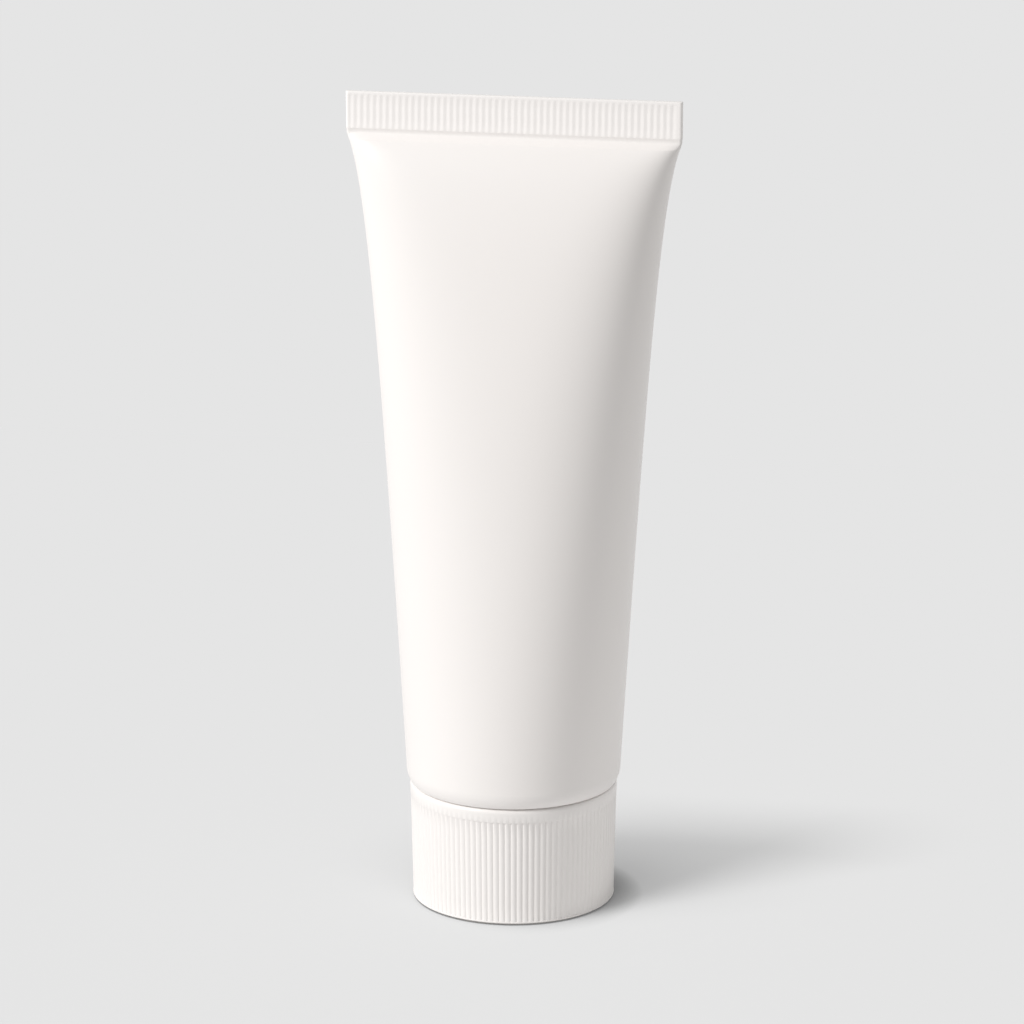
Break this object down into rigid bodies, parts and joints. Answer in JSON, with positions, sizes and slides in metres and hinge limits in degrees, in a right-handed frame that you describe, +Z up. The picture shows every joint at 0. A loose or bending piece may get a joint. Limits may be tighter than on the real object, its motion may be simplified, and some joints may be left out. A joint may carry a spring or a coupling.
{
  "type": "cream tube",
  "caption": "Squeezable plastic cream tube, flat ribbed crimp at the top, round at the foot, standing on its wide ribbed screw cap.",
  "frame": {"origin": "centre of the cap's closed flat end, which the tube stands on", "axes": "+Z up along the tube to the crimp, +X along the crimp's width, -Y towards the front face"},
  "size_m": [0.0544, 0.035, 0.133],
  "materials": {
    "sleeve_plastic": "satin white",
    "head_plastic": "satin white",
    "cream": "wet, smooth",
    "cap_plastic": "satin white, moulded",
    "wad_foam": "soft foam"
  },
  "bodies": {
    "cap": {"screw_cap": "cap_plastic"},
    "wad": {"sealing_wad": "wad_foam"},
    "tube": {"tube_sleeve": "sleeve_plastic", "tube_head": "head_plastic", "cream_fill": "cream"}
  },
  "joints": [
    {"name": "cap_turn", "type": "hinge", "parent": "cap", "child": "wad", "pos_m": [0, 0, 0], "axis": [0, 0, 1], "range_deg": [0, 720]},
    {"name": "tube_lift", "type": "slide", "parent": "wad", "child": "tube", "axis": [0, 0, 1], "range_m": [0, 0.006]}
  ],
  "couplings": [
    {"joint": "tube_lift", "follows": "cap_turn", "m_per_rad": 0.00047746}
  ]
}
